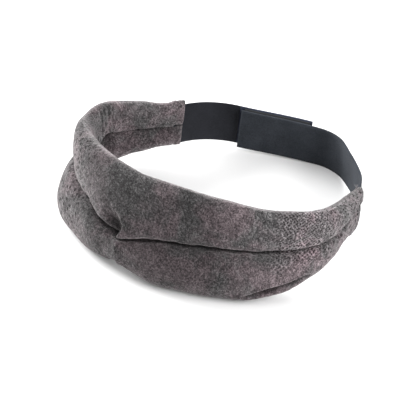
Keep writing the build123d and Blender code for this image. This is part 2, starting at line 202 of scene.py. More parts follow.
def noise_node(nodes, links, vector, scale, detail=3.0, rough=0.55, distortion=0.0):
    node = nodes.new("ShaderNodeTexNoise")
    node.inputs["Scale"].default_value = scale
    node.inputs["Detail"].default_value = detail
    node.inputs["Roughness"].default_value = rough
    node.inputs["Distortion"].default_value = distortion
    links.new(vector, node.inputs["Vector"])
    return node.outputs["Fac"]


def ramp_node(nodes, links, factor, stops):
    node = nodes.new("ShaderNodeValToRGB")
    ramp = node.color_ramp
    while len(ramp.elements) < len(stops):
        ramp.elements.new(0.5)
    for element, (place, colour) in zip(ramp.elements, stops):
        element.position = place
        element.color = (*colour, 1) if len(colour) == 3 else colour
    links.new(factor, node.inputs["Fac"])
    return node.outputs["Color"]


def mix_node(nodes, links, kind, factor, a, b):
    node = nodes.new("ShaderNodeMix")
    node.data_type = "RGBA"
    node.blend_type = kind
    if isinstance(factor, (int, float)):
        node.inputs[0].default_value = factor
    else:
        links.new(factor, node.inputs[0])
    for socket, value in ((node.inputs[6], a), (node.inputs[7], b)):
        if isinstance(value, tuple):
            socket.default_value = (*value, 1)
        else:
            links.new(value, socket)
    return node.outputs[2]


def math_node(nodes, links, operation, a, b=None):
    node = nodes.new("ShaderNodeMath")
    node.operation = operation
    for socket, value in zip(node.inputs, (a, b)):
        if value is None:
            continue
        if isinstance(value, (int, float)):
            socket.default_value = value
        else:
            links.new(value, socket)
    return node.outputs[0]


def mapped(nodes, links, source, scale):
    node = nodes.new("ShaderNodeMapping")
    node.inputs["Scale"].default_value = scale
    links.new(source, node.inputs["Vector"])
    return node.outputs["Vector"]


def bump_node(nodes, links, shader, height, distance, strength=1.0, below=None):
    node = nodes.new("ShaderNodeBump")
    node.inputs["Strength"].default_value = strength
    node.inputs["Distance"].default_value = distance
    links.new(height, node.inputs["Height"])
    if below is not None:
        links.new(below, node.inputs["Normal"])
    links.new(node.outputs["Normal"], shader.inputs["Normal"])
    return node.outputs["Normal"]


def split_uv(nodes, links):
    """The UV map and its axes: on the skin, distance from the nose and turn round the roll x TURN_LONG."""
    uv = nodes.new("ShaderNodeTexCoord").outputs["UV"]
    parts = nodes.new("ShaderNodeSeparateXYZ")
    links.new(uv, parts.inputs[0])
    return uv, parts.outputs[0], parts.outputs[1]


def ramp_up(nodes, links, value, low, high):
    """0 to 1 as value goes from low to high, or the other way when low is the larger."""
    node = nodes.new("ShaderNodeMapRange")
    node.interpolation_type = "SMOOTHSTEP"
    node.inputs["From Min"].default_value = low
    node.inputs["From Max"].default_value = high
    links.new(value, node.inputs["Value"])
    return node.outputs["Result"]


def patch_node(nodes, links, *spans):
    """Product of ramps, each a (value, low, high)."""
    total = None
    for value, low, high in spans:
        part = ramp_up(nodes, links, value, low, high)
        total = part if total is None else math_node(nodes, links, "MULTIPLY", total, part)
    return total


def gap_node(nodes, links, value, middle):
    """How far value is from middle, either way."""
    return math_node(nodes, links, "ABSOLUTE", math_node(nodes, links, "SUBTRACT", value, middle))


def voronoi_node(nodes, links, vector, scale, spread=1.0):
    node = nodes.new("ShaderNodeTexVoronoi")
    node.voronoi_dimensions = "2D"
    node.inputs["Scale"].default_value = scale
    node.inputs["Randomness"].default_value = spread
    links.new(vector, node.inputs["Vector"])
    return node.outputs["Distance"]


def sum_node(nodes, links, *terms):
    """Weighted sum of (output, weight) pairs."""
    total = None
    for value, weight in terms:
        part = math_node(nodes, links, "MULTIPLY", value, weight)
        total = part if total is None else math_node(nodes, links, "ADD", total, part)
    return total


def plush_material(name, dark, middle, light):
    """Short velour pile: brushed patches of two casts over a fine mottle, paler toward the ends (partly its
    nap, partly painted light) and with painted shade in the creases and hollows. It has pits between its
    tufts, and its backing shows where the right bend is stretched."""
    mat, nodes, links, shader = material(name)
    place = nodes.new("ShaderNodeTexCoord").outputs["Object"]
    uv, along, around = split_uv(nodes, links)
    brushed = noise_node(nodes, links, place, 26, 3, 0.6, 0.8)
    crushed = noise_node(nodes, links, mapped(nodes, links, place, (1, 1, 0.6)), 170, 4, 0.7, 0.2)
    mottle = noise_node(nodes, links, mapped(nodes, links, place, (1, 1, 0.8)), 620, 3, 0.8, 0.0)
    tufts = noise_node(nodes, links, place, 1150, 2, 0.8)
    tone = sum_node(nodes, links, (brushed, 0.13), (crushed, 0.17), (mottle, 0.38), (tufts, 0.32))
    colour = ramp_node(nodes, links, tone, ((0.41, dark), (0.5, middle), (0.59, light)))
    cast = ramp_node(nodes, links, brushed, ((0.42, (0.93, 1.03, 1.0)), (0.58, (1.14, 0.93, 0.99))))
    colour = mix_node(nodes, links, "MULTIPLY", 0.6, colour, cast)
    pits = ramp_node(nodes, links, voronoi_node(nodes, links, mapped(nodes, links, uv, (1, 0.85, 1)), 0.23), (
        (0.14, (0.08, 0.08, 0.08)), (0.25, (1, 1, 1))))
    # the pile is paler toward the ends and on the inner brow: partly the nap of the pile, partly painted
    # light
    outside = ramp_up(nodes, links, around, 2.1 * TURN_LONG, 1.9 * TURN_LONG)
    from_nose = math_node(nodes, links, "ABSOLUTE", along)
    away = patch_node(nodes, links, (from_nose, 40, 135), (along, -200, -120))
    inner_nap_and_painted_light = ramp_node(nodes, links, ramp_up(nodes, links, around, 2.9 * TURN_LONG, 3.1 * TURN_LONG),
                            ((0.0, (0.92,) * 3), (1.0, (1.27,) * 3)))
    outer_nap_and_painted_light = ramp_node(nodes, links, away, ((0.0, (0.74,) * 3), (1.0, (1.7,) * 3)))
    nap_and_painted_light = mix_node(nodes, links, "MIX", outside, inner_nap_and_painted_light, outer_nap_and_painted_light)
    colour = mix_node(nodes, links, "MULTIPLY", 1.0, colour, nap_and_painted_light)
    # painted shade below the right brow, in the hollow of the left bend, in the dart and in the hem's slit
    shade = patch_node(nodes, links, (along, -20, 40), (around, 36, 46))
    hollow = patch_node(nodes, links, (along, -138, -130), (along, -98, -112),
                        (around, 98, 114), (around, 123, 119))
    pocket = patch_node(nodes, links, (along, -17, -3), (along, 1.5, -1.0),
                        (around, 26, 34), (around, 41, 39))
    off_slit = gap_node(nodes, links, sum_node(nodes, links, (around, 1), (along, 0.15)), 87.3)
    slit = patch_node(nodes, links, (off_slit, 1.9, 0.3), (along, 92, 99), (along, 135, 128))
    painted_shade = sum_node(nodes, links, (shade, 0.22), (hollow, 0.85), (pocket, 0.75), (slit, 0.6))
    colour = mix_node(nodes, links, "MULTIPLY", painted_shade, colour, (0.1, 0.1, 0.1))
    # and painted shade in the two sewn creases
    to_crease = math_node(nodes, links, "MINIMUM", *(
        gap_node(nodes, links, around, at * TURN_LONG) for at in (1, 3)))
    crease_shade = ramp_node(nodes, links, ramp_up(nodes, links, to_crease, 0.3, 3.0),
                        ((0.0, (0.35,) * 3), (1.0, (1,) * 3)))
    colour = mix_node(nodes, links, "MULTIPLY", 1.0, colour, crease_shade)
    # pits show most where a bend opens the pile, outside
    left = patch_node(nodes, links, (along, -20, -60), (along, -132, -90))
    right = ramp_up(nodes, links, along, 128, 150)
    bared = sum_node(nodes, links, (left, 0.62), (right, 0.65))
    bared = math_node(nodes, links, "ADD", math_node(nodes, links, "MULTIPLY", bared, outside), 0.12)
    colour = mix_node(nodes, links, "MULTIPLY", bared, colour, pits)
    # the backing: slanting rows of gaps, in the stretched stretch only
    stretch = patch_node(nodes, links, (along, 100, 116), (along, 158, 138), (around, 66, 44))
    turned = nodes.new("ShaderNodeMapping")
    turned.inputs["Rotation"].default_value = (0, 0, math.radians(35))
    links.new(uv, turned.inputs["Vector"])
    knit = voronoi_node(nodes, links, turned.outputs["Vector"], 0.47, 0.5)
    gaps = ramp_node(nodes, links, knit, ((0.20, (0.22, 0.19, 0.20)), (0.42, (1.5, 1.41, 1.44))))
    colour = mix_node(nodes, links, "MULTIPLY", stretch, colour, gaps)
    links.new(colour, shader.inputs["Base Color"])
    shader.inputs["Roughness"].default_value = 0.95
    shader.inputs["Specular IOR Level"].default_value = 0.1
    shader.inputs["Sheen Weight"].default_value = 0.6
    shader.inputs["Sheen Roughness"].default_value = 0.4
    tips = ramp_node(nodes, links, tone, ((0.41, (0.38, 0.36, 0.36)), (0.59, (1, 0.94, 0.95))))
    # the sheen's tint carries the painted crease shade as well
    tips = mix_node(nodes, links, "MULTIPLY", 1.0, tips, crease_shade)
    links.new(mix_node(nodes, links, "MULTIPLY", bared, tips, pits), shader.inputs["Sheen Tint"])
    height = sum_node(nodes, links, (crushed, 0.5), (mottle, 0.8), (tufts, 0.35),
                      (math_node(nodes, links, "MULTIPLY", knit, stretch), 0.9))
    bump_node(nodes, links, shader, height, 0.0012, 0.9)
    return mat


def webbing_material(name, dark, light):
    """Elastic webbing, ribbed along its length."""
    mat, nodes, links, shader = material(name)
    uv = nodes.new("ShaderNodeTexCoord").outputs["UV"]
    place = nodes.new("ShaderNodeTexCoord").outputs["Object"]
    wave = nodes.new("ShaderNodeTexWave")
    wave.wave_type = "BANDS"
    wave.bands_direction = "Y"
    wave.inputs["Scale"].default_value = 0.42
    wave.inputs["Distortion"].default_value = 0.6
    wave.inputs["Detail"].default_value = 1
    links.new(uv, wave.inputs["Vector"])
    fuzz = noise_node(nodes, links, place, 900, 4, 0.7)
    broad = noise_node(nodes, links, place, 60, 2, 0.5)
    tone = math_node(nodes, links, "ADD", math_node(nodes, links, "MULTIPLY", fuzz, 0.6),
                     math_node(nodes, links, "MULTIPLY", broad, 0.4))
    links.new(ramp_node(nodes, links, tone, ((0.35, dark), (0.65, light))), shader.inputs["Base Color"])
    shader.inputs["Roughness"].default_value = 0.85
    shader.inputs["Specular IOR Level"].default_value = 0.1
    shader.inputs["Sheen Weight"].default_value = 0.03
    shader.inputs["Sheen Roughness"].default_value = 0.5
    ribs = math_node(nodes, links, "MULTIPLY", wave.outputs["Fac"], 0.5)
    height = math_node(nodes, links, "ADD", ribs, fuzz)
    bump_node(nodes, links, shader, height, 0.0003, 0.8)
    return mat


def plain_material(name, colour, roughness, metal=0.0, grain=900, depth=0.00005, spread=0.12):
    """Moulded, drawn or coated surface with a fine grain and slight wear in its tone."""
    mat, nodes, links, shader = material(name)
    place = nodes.new("ShaderNodeTexCoord").outputs["Object"]
    grain_noise = noise_node(nodes, links, place, grain, 3, 0.6)
    tone = noise_node(nodes, links, place, 70, 3, 0.6)
    low = tuple(c * (1 - spread) for c in colour)
    high = tuple(min(1, c * (1 + spread)) for c in colour)
    links.new(ramp_node(nodes, links, tone, ((0.3, low), (0.7, high))), shader.inputs["Base Color"])
    smoother, rougher = (roughness * 0.9,) * 3, (min(1, roughness * 1.1),) * 3
    links.new(ramp_node(nodes, links, tone, ((0.3, smoother), (0.7, rougher))), shader.inputs["Roughness"])
    shader.inputs["Metallic"].default_value = metal
    bump_node(nodes, links, shader, grain_noise, depth, 0.6)
    return mat


PLUSH = plush_material("plush_velour", (0.012, 0.011, 0.0115), (0.050, 0.0455, 0.0470), (0.160, 0.146, 0.150))
WEB = webbing_material("web_charcoal", (0.0092, 0.0099, 0.0125), (0.0190, 0.0200, 0.0250))
WEB_TAB = webbing_material("web_ink", (0.0205, 0.0240, 0.0370), (0.0410, 0.0480, 0.0720))
WEB_COOL = webbing_material("web_cool", (0.0190, 0.0217, 0.0267), (0.0380, 0.0430, 0.0523))

THREAD = plain_material("lockstitch", (0.16, 0.15, 0.155), 0.9, 0.0, 3000, 0.0001)
HOOKS = plain_material("hook_face", (0.016, 0.017, 0.019), 0.6, 0.0, 1600, 0.0006)
LOOPS = plain_material("loop_face", (0.020, 0.021, 0.024), 0.95, 0.0, 1300, 0.0005)

# ---------------------------------------------------------------- padded mask
# points round the section: brow outside, cheek outside, cheek inside, brow inside. Round it, turn runs from
# 0 at the rim to 1 at the outer crease, 2 at the hem, 3 at the inner crease and 4 back at the rim.
FINE_ROWS = (52, 60, 56, 48)
CLOTH_ROWS = (13, 15, 14, 12)
CLOTH_COLUMNS, CLOTH_FRAMES = 103, 20
NECK = 2.2  # half thickness left at the sewn crease
CLOTH_CAP = 1.8  # how far the simulation may move a point
# how square each roll is, (top, bottom) of its front and of its back, where 2 is an ellipse
BROW_POWERS = ((2.15, 3.2), (2.15, 2.3))
CHEEK_POWERS = ((2.6, 2.2), (2.1, 2.2))
# the skin goes over from the crease path to the rim path between these heights, which fades out between these
# distances from the nose
TO_RIM_UP, TO_RIM_ALONG = (-14, 18), (55, 100)
# how far past each end the last outlines stand, and how full they are
END_CAPS = ((0.0, 1.0), (0.9, 0.93), (1.5, 0.72), (1.8, 0.42), (1.8, 0.2))
CAP_SQUEEZE = 0.035  # how much of their height goes with that
# distances of the skin's columns near the nose, and further out on each side, as (from, to, step)
NEAR_SPAN, WIDE_SPAN = (-23.4, 23.5, 0.7), (24, HALF_LENGTH - 0.5, 1.2)
REST_LIFT = 0.0002  # metres between the skin and the floor


def roll(centre, half_thick, half_high, lean, angles, power_top, power_bottom):
    """Points of a rounded oval at those angles, in (out, up)."""
    c, s = np.cos(angles), np.sin(angles)
    power = np.where(s >= 0, power_top, power_bottom)
    x = half_thick * np.sign(c) * np.abs(c) ** (2 / power)
    y = half_high * np.sign(s) * np.abs(s) ** (2 / power)
    return np.stack((centre[0] + x * math.cos(lean) - y * math.sin(lean),
                     centre[1] + x * math.sin(lean) + y * math.cos(lean)), 1)


def resample(points, count):
    """count points spread evenly along a polyline, with its start and without its end."""
    gaps = np.r_[0, np.cumsum(np.linalg.norm(np.diff(points, axis=0), axis=1))]
    at = np.linspace(0, gaps[-1], count + 1)[:-1]
    return np.stack((np.interp(at, gaps, points[:, 0]), np.interp(at, gaps, points[:, 1])), 1)


def section(row, rows):
    """Closed outline of the padding for one row of the profile, from the rim down the outside and back."""
    rim, crease, hem = row[1:3], row[CREASE_OUT:CREASE_OUT + 2], row[HEM_OUT:HEM_OUT + 2]
    brow_thick, cheek_thick = row[BROW_THICK], row[CHEEK_THICK]
    quarter = math.pi / 2
    sweep = np.linspace(0, math.pi, 200)
    outer, inner = [], []
    for top, bottom, thick, (fronts, backs) in ((rim, crease, brow_thick, BROW_POWERS),
                                                (crease, hem, cheek_thick, CHEEK_POWERS)):
        centre = (top + bottom) / 2
        high = np.linalg.norm(top - bottom) / 2
        lean = math.atan2(bottom[0] - top[0], top[1] - bottom[1])
        outer.append(roll(centre, thick, high, lean, quarter - sweep, *fronts))
        inner.append(roll(centre, thick, high, lean, -quarter - sweep, *backs))
    neck = min(NECK, 0.45 * min(brow_thick, cheek_thick))
    outside, inside = crease + (neck, 0), crease - (neck, 0)
    low, high = crease[1] - 0.4, crease[1] + 0.4
    pieces = (np.r_[outer[0][outer[0][:, 1] > high], [outside]],
              np.r_[[outside], outer[1][outer[1][:, 1] < low]],
              np.r_[inner[1][inner[1][:, 1] < low], [inside]],
              np.r_[[inside], inner[0][inner[0][:, 1] > high]])
    return np.concatenate([resample(p, n) for p, n in zip(pieces, rows)])


def profile_at(s):
    """Profile row at distance s, on smooth curves through the rows."""
    places = PROFILE[:, 0]
    slopes = np.gradient(PROFILE, places, axis=0)
    slopes[0, 1:] = 0
    k = int(np.clip(np.searchsorted(places, s) - 1, 0, len(places) - 2))
    span = places[k + 1] - places[k]
    t = (s - places[k]) / span
    a, b, ma, mb = PROFILE[k], PROFILE[k + 1], slopes[k] * span, slopes[k + 1] * span
    return ((2 * t**3 - 3 * t**2 + 1) * a + (t**3 - 2 * t**2 + t) * ma
            + (3 * t**2 - 2 * t**3) * b + (t**3 - t**2) * mb)


def tucked(s):
    """Profile row at signed distance s, with the left bend and the right hem pulled in."""
    row = profile_at(abs(s)).copy()
    if s > 0:
        row[HEM_OUT] -= RIGHT_HEM_IN * window(s, *RIGHT_HEM_SPAN)
        return row
    for column, amount, middle, width in LEFT_SHIFTS:
        row[column] += amount * hill(s, middle, width)
    bend = math.cos(math.pi / 2 * min(abs(-s - TUCK_AT) / TUCK_REACH, 1)) ** 2
    for column, amount in TUCK_BY.items():
        row[column] -= amount * bend
    return row


def lay_out(stations, rows):
    """Ring-plane grid of the skin: one closed outline for each station, a (distance, fullness) pair."""
    columns = []
    for s, fullness in stations:
        inner = float(np.clip(s, -HALF_LENGTH, HALF_LENGTH))
        outline = section(tucked(inner), rows)
        outline[:, 0] *= fullness
        outline[:, 1] *= 1 - CAP_SQUEEZE + CAP_SQUEEZE * fullness
        to_rim = smoothstep(*TO_RIM_UP, outline[:, 1])[:, None] * (1 - smoothstep(*TO_RIM_ALONG, abs(s)))
        xy = 0
        for line, share in ((CREASE_PATH, 1 - to_rim), (RIM_PATH, to_rim)):
            point, out = brow_line(inner, line)
            beyond = np.array((-out[1], out[0])) * (s - inner)
            xy = xy + share * (point + beyond + outline[:, :1] * out)
        columns.append(np.c_[xy, outline[:, 1]])
    return np.array(columns)


def close_ends(columns, rows):
    """Strips across each end, over the slit that the strap leaves by."""
    faces = []
    for first, flip in ((0, False), ((columns - 1) * rows, True)):
        for j in range(rows // 2):
            ring = (j, (j + 1) % rows, (rows - j - 1) % rows, (rows - j) % rows)
            face = [first + v for i, v in enumerate(ring) if v not in ring[:i]]
            if len(face) > 2:
                faces.append(tuple(face if flip else reversed(face)))
    return faces


def puffed(stations, rows):
    """How far cloth moves each point of a coarse copy of the skin, in ring-plane millimetres. It is cut
    a little long, blown up, and held at the creases and ends."""
    grid = lay_out(stations, rows)
    count, total = grid.shape[:2]
    cover = grid_faces(count, total) + close_ends(count, total)
    obj = mesh_object("cloth_trial", to_world(grid.reshape(-1, 3)), cover)
    turn = np.tile(turn_of(rows), count)
    column = np.repeat(np.arange(count), total)
    at_crease = np.minimum(np.abs(turn - 1), np.abs(turn - 3)) < 0.05
    held = at_crease | (column < 2) | (column > count - 3)
    pins = obj.vertex_groups.new(name="pins")
    pins.add([int(v) for v in np.nonzero(held)[0]], 1.0, "REPLACE")
    cloth = obj.modifiers.new("cloth", "CLOTH").settings
    cloth.vertex_group_mass = "pins"
    cloth.quality = 6
    cloth.mass = 0.3
    cloth.tension_stiffness = cloth.compression_stiffness = 25
    cloth.shear_stiffness = 12
    cloth.bending_stiffness = 0.4
    cloth.shrink_min = -0.01
    cloth.use_pressure = True
    cloth.uniform_pressure_force = 3
    cloth.effector_weights.gravity = 0
    scene = bpy.context.scene
    for step in range(1, CLOTH_FRAMES + 1):
        scene.frame_set(step)
    graph = bpy.context.evaluated_depsgraph_get()
    after = coordinates(obj.evaluated_get(graph))
    move = (after - coordinates(obj)) * 1000 @ RING_NP[:3, :3]
    bpy.data.objects.remove(obj)
    scene.frame_set(1)
    far = np.linalg.norm(move, axis=1, keepdims=True)
    move *= CLOTH_CAP * np.tanh(far / CLOTH_CAP) / np.maximum(far, 1e-6)
    return move.reshape(grid.shape)


def turn_of(rows):
    """Turn of each point round an outline with that many points to each of its four pieces."""
    return np.concatenate([k + np.arange(n) / n for k, n in enumerate(rows)])


def refine(move, coarse_s, coarse_rows, fine_s, fine_rows):
    """The coarse moves read off at the fine skin's points."""
    at_turn = np.r_[turn_of(coarse_rows), 4]
    around = np.concatenate((move, move[:, :1]), axis=1)
    fine_turn = turn_of(fine_rows)
    rows = np.stack([np.stack([np.interp(fine_turn, at_turn, around[i, :, k]) for k in range(3)], 1)
                     for i in range(len(coarse_s))])
    out = np.empty((len(fine_s), len(fine_turn), 3))
    for j in range(len(fine_turn)):
        for k in range(3):
            out[:, j, k] = np.interp(fine_s, coarse_s, rows[:, j, k])
    return out


def grid_normals(grid):
    """Outward normals of a grid that is closed round its rows."""
    along = np.gradient(grid, axis=0)
    around = np.roll(grid, -1, axis=1) - np.roll(grid, 1, axis=1)
    normal = np.cross(around, along)
    return normal / np.maximum(np.linalg.norm(normal, axis=2, keepdims=True), 1e-9)


def hill(x, middle, width):
    """1 at the middle, falling away both ways."""
    return np.exp(-((x - middle) / width) ** 2)


def window(x, low, high, soft):
    """1 from low to high, with soft edges."""
    return smoothstep(low - soft, low + soft, x) * (1 - smoothstep(high - soft, high + soft, x))


# stretches of the skin: distance from, to and softness, then turn from, to and softness
STRETCHES = {
    "gathers": ((-15, 2, 3), (1.70, 2.05, 0.08)),
    "folds": ((-132, -115, 2.0), (3.12, 3.86, 0.07)),
    "stretched": ((104, 152, 6), (0.0, 1.5, 0.15)),
    "left_inside": ((-188, -100, 8), (2.5, 3.0, 0.08)),
    "left_hollow": ((-136, -100, 6), (2.5, 3.0, 0.08)),
    "hem_lip": ((88, 128, 8), (1.80, 2.12, 0.06)),
}
OVERHANG_SPAN, SLIT_SPAN = (95, 184, 12), (95, 133, 4)
# pitches along the skin, and the place of one fold
PUCKER_PITCHES, GATHER_PITCH, FOLD_PITCH, ONE_FOLD = (4.4, 7.3), 3.4, 5.2, -121.5
END_RIPPLES = 40  # radians of ripple to a turn
# the dart beside the nose: how deep it goes, where it starts, and where its edge is
DART_DEEP, DART_FROM, DART_EDGE = 8.5, -19, -1.5
# wavelength and height of the filling's unevenness, of the pile and of the pile where it is stretched
FILLING, PILE, STRETCHED_PILE = ((34, 0.8), (12, 0.3)), (2.6, 0.2), (1.7, 0.3)


def within(name, s, turn):
    """1 in that stretch of the skin and 0 outside it."""
    along, around = STRETCHES[name]
    return window(s, *along) * window(turn, *around)


def roughness_field(points, wavelength, seed):
    """Smooth noise from -1 to 1 at each point, both of them in millimetres."""
    shift = Vector((seed * 17.3, seed * 5.1, seed * 9.7))
    return np.array([noise.noise(Vector(p) / wavelength + shift) for p in points])


def sewn_shape(s, turn, points):
    """How far out each point of the skin stands, in millimetres, for its seams, folds and pile."""
    crease = np.minimum(np.abs(turn - 1), np.abs(turn - 3))
    above = np.where((turn < 1) | (turn > 3), crease, -1)
    below = np.where((turn >= 1) & (turn <= 3), crease, -1)
    ends = HALF_LENGTH - np.abs(s)
    inward = smoothstep(2, 16, ends)
    # the brow roll overhangs the crease, and the cheek roll tucks in under it
    out = 1.3 * hill(above, 0.12, 0.08) * (above >= 0) * inward * (1 + 0.8 * (turn > 2) * (s < 0))
    out -= 1.5 * hill(below, 0.05, 0.10) * (below >= 0) * inward
    # puckers of the lockstitch beside the crease and the hem
    pucker = (np.sin(2 * math.pi * s / PUCKER_PITCHES[0])
              + 0.6 * np.sin(2 * math.pi * s / PUCKER_PITCHES[1] + 1))
    out += 0.07 * pucker * (hill(below, 0.12, 0.07) + hill(turn, 2, 0.1)) * inward
    # the brow roll hangs further over the crease toward the right end
    further = 0.9 * hill(above, 0.10, 0.08) * (above >= 0) - 1.6 * hill(below, 0.06, 0.10) * (below >= 0)
    out += further * window(s, *OVERHANG_SPAN)
    # gathers under the nose, where the hem is drawn up
    out += 0.35 * np.sin(2 * math.pi * s / GATHER_PITCH) * within("gathers", s, turn)
    out -= 1.8 * hill(s, -4, 3.0) * window(turn, 1.76, 2.1, 0.08)
    # the tight inside of the left bend is squeezed into upright folds
    fold = np.abs(np.sin(math.pi * (s - ONE_FOLD) / FOLD_PITCH)) ** 0.7
    out -= 2.0 * (1 - fold) * within("folds", s, turn)
    # the slit of the right hem, with the lip of the inner panel under it
    run = window(s, *SLIT_SPAN)
    slit = 1.83 - 0.10 * smoothstep(94, 114, s) - 0.05 * smoothstep(114, 134, s)
    out -= 4.0 * run * hill(turn, slit, 0.03)
    out += 1.0 * run * hill(turn, slit - 0.07, 0.05) + 0.9 * run * hill(turn, slit + 0.09, 0.05)
    # turned-in ends, with a line of stitching
    out -= 0.6 * hill(ends, 5.0, 0.9) + 0.25 * hill(ends, 2.0, 1.2) * np.sin(turn * END_RIPPLES)
    # soft unevenness of the filling, then the pile
    loose = 1 - hill(crease, 0, 0.09)
    for seed, (long, high) in enumerate(FILLING, 1):
        out += high * loose * roughness_field(points, long, seed)
    out += PILE[1] * loose * roughness_field(points, PILE[0], 3)
    stretched = loose * within("stretched", s, turn)
    out += STRETCHED_PILE[1] * stretched * roughness_field(points, STRETCHED_PILE[0], 4)
    return out


def drawn(s, turn):
    """How far sewing and folding draw each point of the skin out of the ring, and how far up."""
    # the dart beside the nose: the left half goes in behind the right half's edge, above the crease
    edge = DART_EDGE + 3.5 * hill(turn, 0.80, 0.13) - 1.5 * smoothstep(0.88, 1.0, turn)
    dip = np.clip((s - DART_FROM) / (edge - DART_FROM), 0, 1) ** 1.4 * (1 - smoothstep(edge - 1.5, edge, s))
    out = -DART_DEEP * dip * smoothstep(0.60, 0.86, turn) * (1 - smoothstep(0.96, 1.01, turn))
    # the crease runs lower there
    up = -3.0 * hill(s, -20, 12) * hill(turn, 1.0, 0.22)
    # and it climbs toward the right end
    up = up + 8.0 * smoothstep(138, 182, s) * hill(turn, 1.0, 0.34)
    # the inside of the left bend: the crease pulled up, and the cheek roll hollow under it
    up = up + 5.0 * hill(s, -124, 10) * hill(turn, 3.0, 0.28)
    out = out + 2.5 * within("left_inside", s, turn) + 5.5 * within("left_hollow", s, turn)
    out = out + 3.5 * window(s, -190, -100, 6) * hill(turn, 2.98, 0.05)
    # the lip of the inner panel flares out under the slit of the right hem
    out = out + 3.0 * within("hem_lip", s, turn)
    return out, up


def make_mask():
    """The whole padded mask as one skin from the left end to the right end."""
    before = [(-HALF_LENGTH - d, f) for d, f in reversed(END_CAPS)]
    after = [(HALF_LENGTH + d, f) for d, f in END_CAPS]
    wide, near = np.arange(*WIDE_SPAN), np.arange(*NEAR_SPAN)
    stations = before + [(s, 1.0) for s in np.r_[-wide[::-1], near, wide]] + after
    grid = lay_out(stations, FINE_ROWS)
    trial = np.linspace(-HALF_LENGTH, HALF_LENGTH, CLOTH_COLUMNS)
    move = puffed([(s, 1.0) for s in trial], CLOTH_ROWS)
    s_of = np.array([s for s, _ in stations])
    grid += refine(move, trial, CLOTH_ROWS, np.clip(s_of, -HALF_LENGTH, HALF_LENGTH), FINE_ROWS)
    turn = np.tile(turn_of(FINE_ROWS), len(stations))
    s = np.repeat(s_of, sum(FINE_ROWS))
    out = sewn_shape(s, turn, grid.reshape(-1, 3)).reshape(grid.shape[:2])
    fade = np.array([f for _, f in stations])[:, None]
    grid += grid_normals(grid) * (out * fade)[:, :, None]
    out, up = drawn(s_of[:, None], turn_of(FINE_ROWS)[None, :])
    ways = np.array([brow_line(float(np.clip(s, -HALF_LENGTH, HALF_LENGTH)), CREASE_PATH)[1] for s in s_of])
    grid[:, :, :2] += out[:, :, None] * ways[:, None, :]
    # the rim stands up in a corner at the left end and round the left bend, and a little along the brow
    lift = 2.0 * (1 - smoothstep(-192, -184, s_of)) - 0.6 * hill(s_of, -175, 8)
    lift += 1.9 * window(s_of, -100, 84, 14) + 3.6 * hill(s_of, -126, 19)
    grid[:, :, 2] += up + lift[:, None] * smoothstep(6, 19, grid[:, :, 2])
    return grid, stations


def skin_faces(columns, rows):
    """Faces of the skin and, corner by corner, their column and their turn, for the material."""
    turn = np.r_[turn_of(FINE_ROWS), 4]
    faces = grid_faces(columns, rows)
    corners = np.array(faces).reshape(-1, 4)
    turned = turn[corners % rows]
    turned[np.arange(rows - 1, len(turned), rows), 1:3] = 4
    return faces, corners // rows, turned


grid, stations = make_mask()
n_columns, n_rows = grid.shape[:2]
world = to_world(grid.reshape(-1, 3))
world[:, 2] = np.maximum(world[:, 2], REST_LIFT)
faces, column_of, turn_at = skin_faces(n_columns, n_rows)
s_of = np.array([s for s, _ in stations])
uv = np.stack((s_of[column_of], turn_at * TURN_LONG), 2).reshape(-1, 2)
end_faces = close_ends(n_columns, n_rows)
mask = mesh_object("plush_mask", world, faces + end_faces)
layer = mask.data.uv_layers.new(name="UVMap")
tail = sum(len(f) for f in end_faces)
layer.data.foreach_set("uv", np.r_[uv.ravel(), np.zeros(tail * 2)])
mask.data.materials.append(PLUSH)
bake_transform(mask)
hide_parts(*[f"{side}_{name}" for side in ("left", "right") for name in (
    "brow_cover", "cheek_cover", "brow_foam", "cheek_foam", "crease_seam", "end_binding")], "nose_bridge")

# ---------------------------------------------------------------- straps
STRAP_WIDTH = 38.0
STRAP_THICK = 1.5
# as in BROW_LINE, from the end of the padding on
STRAP_LINE = {
    "left": (75.0, -1, ((4.9, 0.0), (48.0, 47.1), (63.7, 4.3))),
    "right": (103.8, 1, ((28.1, 31.1), (48.6, 12.1), (32.0, 56.0), (68.9, 4.6))),
}
# distances along the outer strap to the peel line, and along the inner one to where they overlap
PEEL_AT, OVERLAP_AT = 53.1, 116.2
TUCKED_IN = 6.0  # length of each strap that runs in the padding
FLAT_SHARE, ACROSS = 0.985, 15  # share of a tape's width before its edges round off, and points across it
# outward lean of each strap's lower edge, in rows of (distance, degrees)
OUTER_LEAN = ((-6, 0), (6, 2), (50, 6))
TAB_LEAN = ((50, 6), (116, 8))
INNER_LEAN = ((-6, 0), (10, 6), (60, 12), (116, 8), (177, 6))
# how far the tab climbs and the inner strap drops to its free end
TAB_RISE, INNER_DROP = 2.0, 1.8
OUTER_END = sum(length for length, _ in STRAP_LINE["left"][2])
INNER_END = sum(length for length, _ in STRAP_LINE["right"][2])


def strap_path(side, start, end, step=1.6):
    """Distances, plan points and outward directions along that strap. Below zero it is in the padding."""
    sense = STRAP_LINE[side][1]
    root = follow(BROW_LINE[side], HALF_LENGTH)
    reach = np.linspace(start, end, int((end - start) / step) + 1)
    points, outs = [], []
    for s in reach:
        if s < 0:
            x, y, heading = follow(BROW_LINE[side], HALF_LENGTH + s)
        else:
            x, y, heading = follow(STRAP_LINE[side], s, root[:2])
        way = math.radians(heading - 90 * sense)
        points.append((x, y))
        outs.append((math.cos(way), math.sin(way)))
    return reach, np.array(points), np.array(outs)


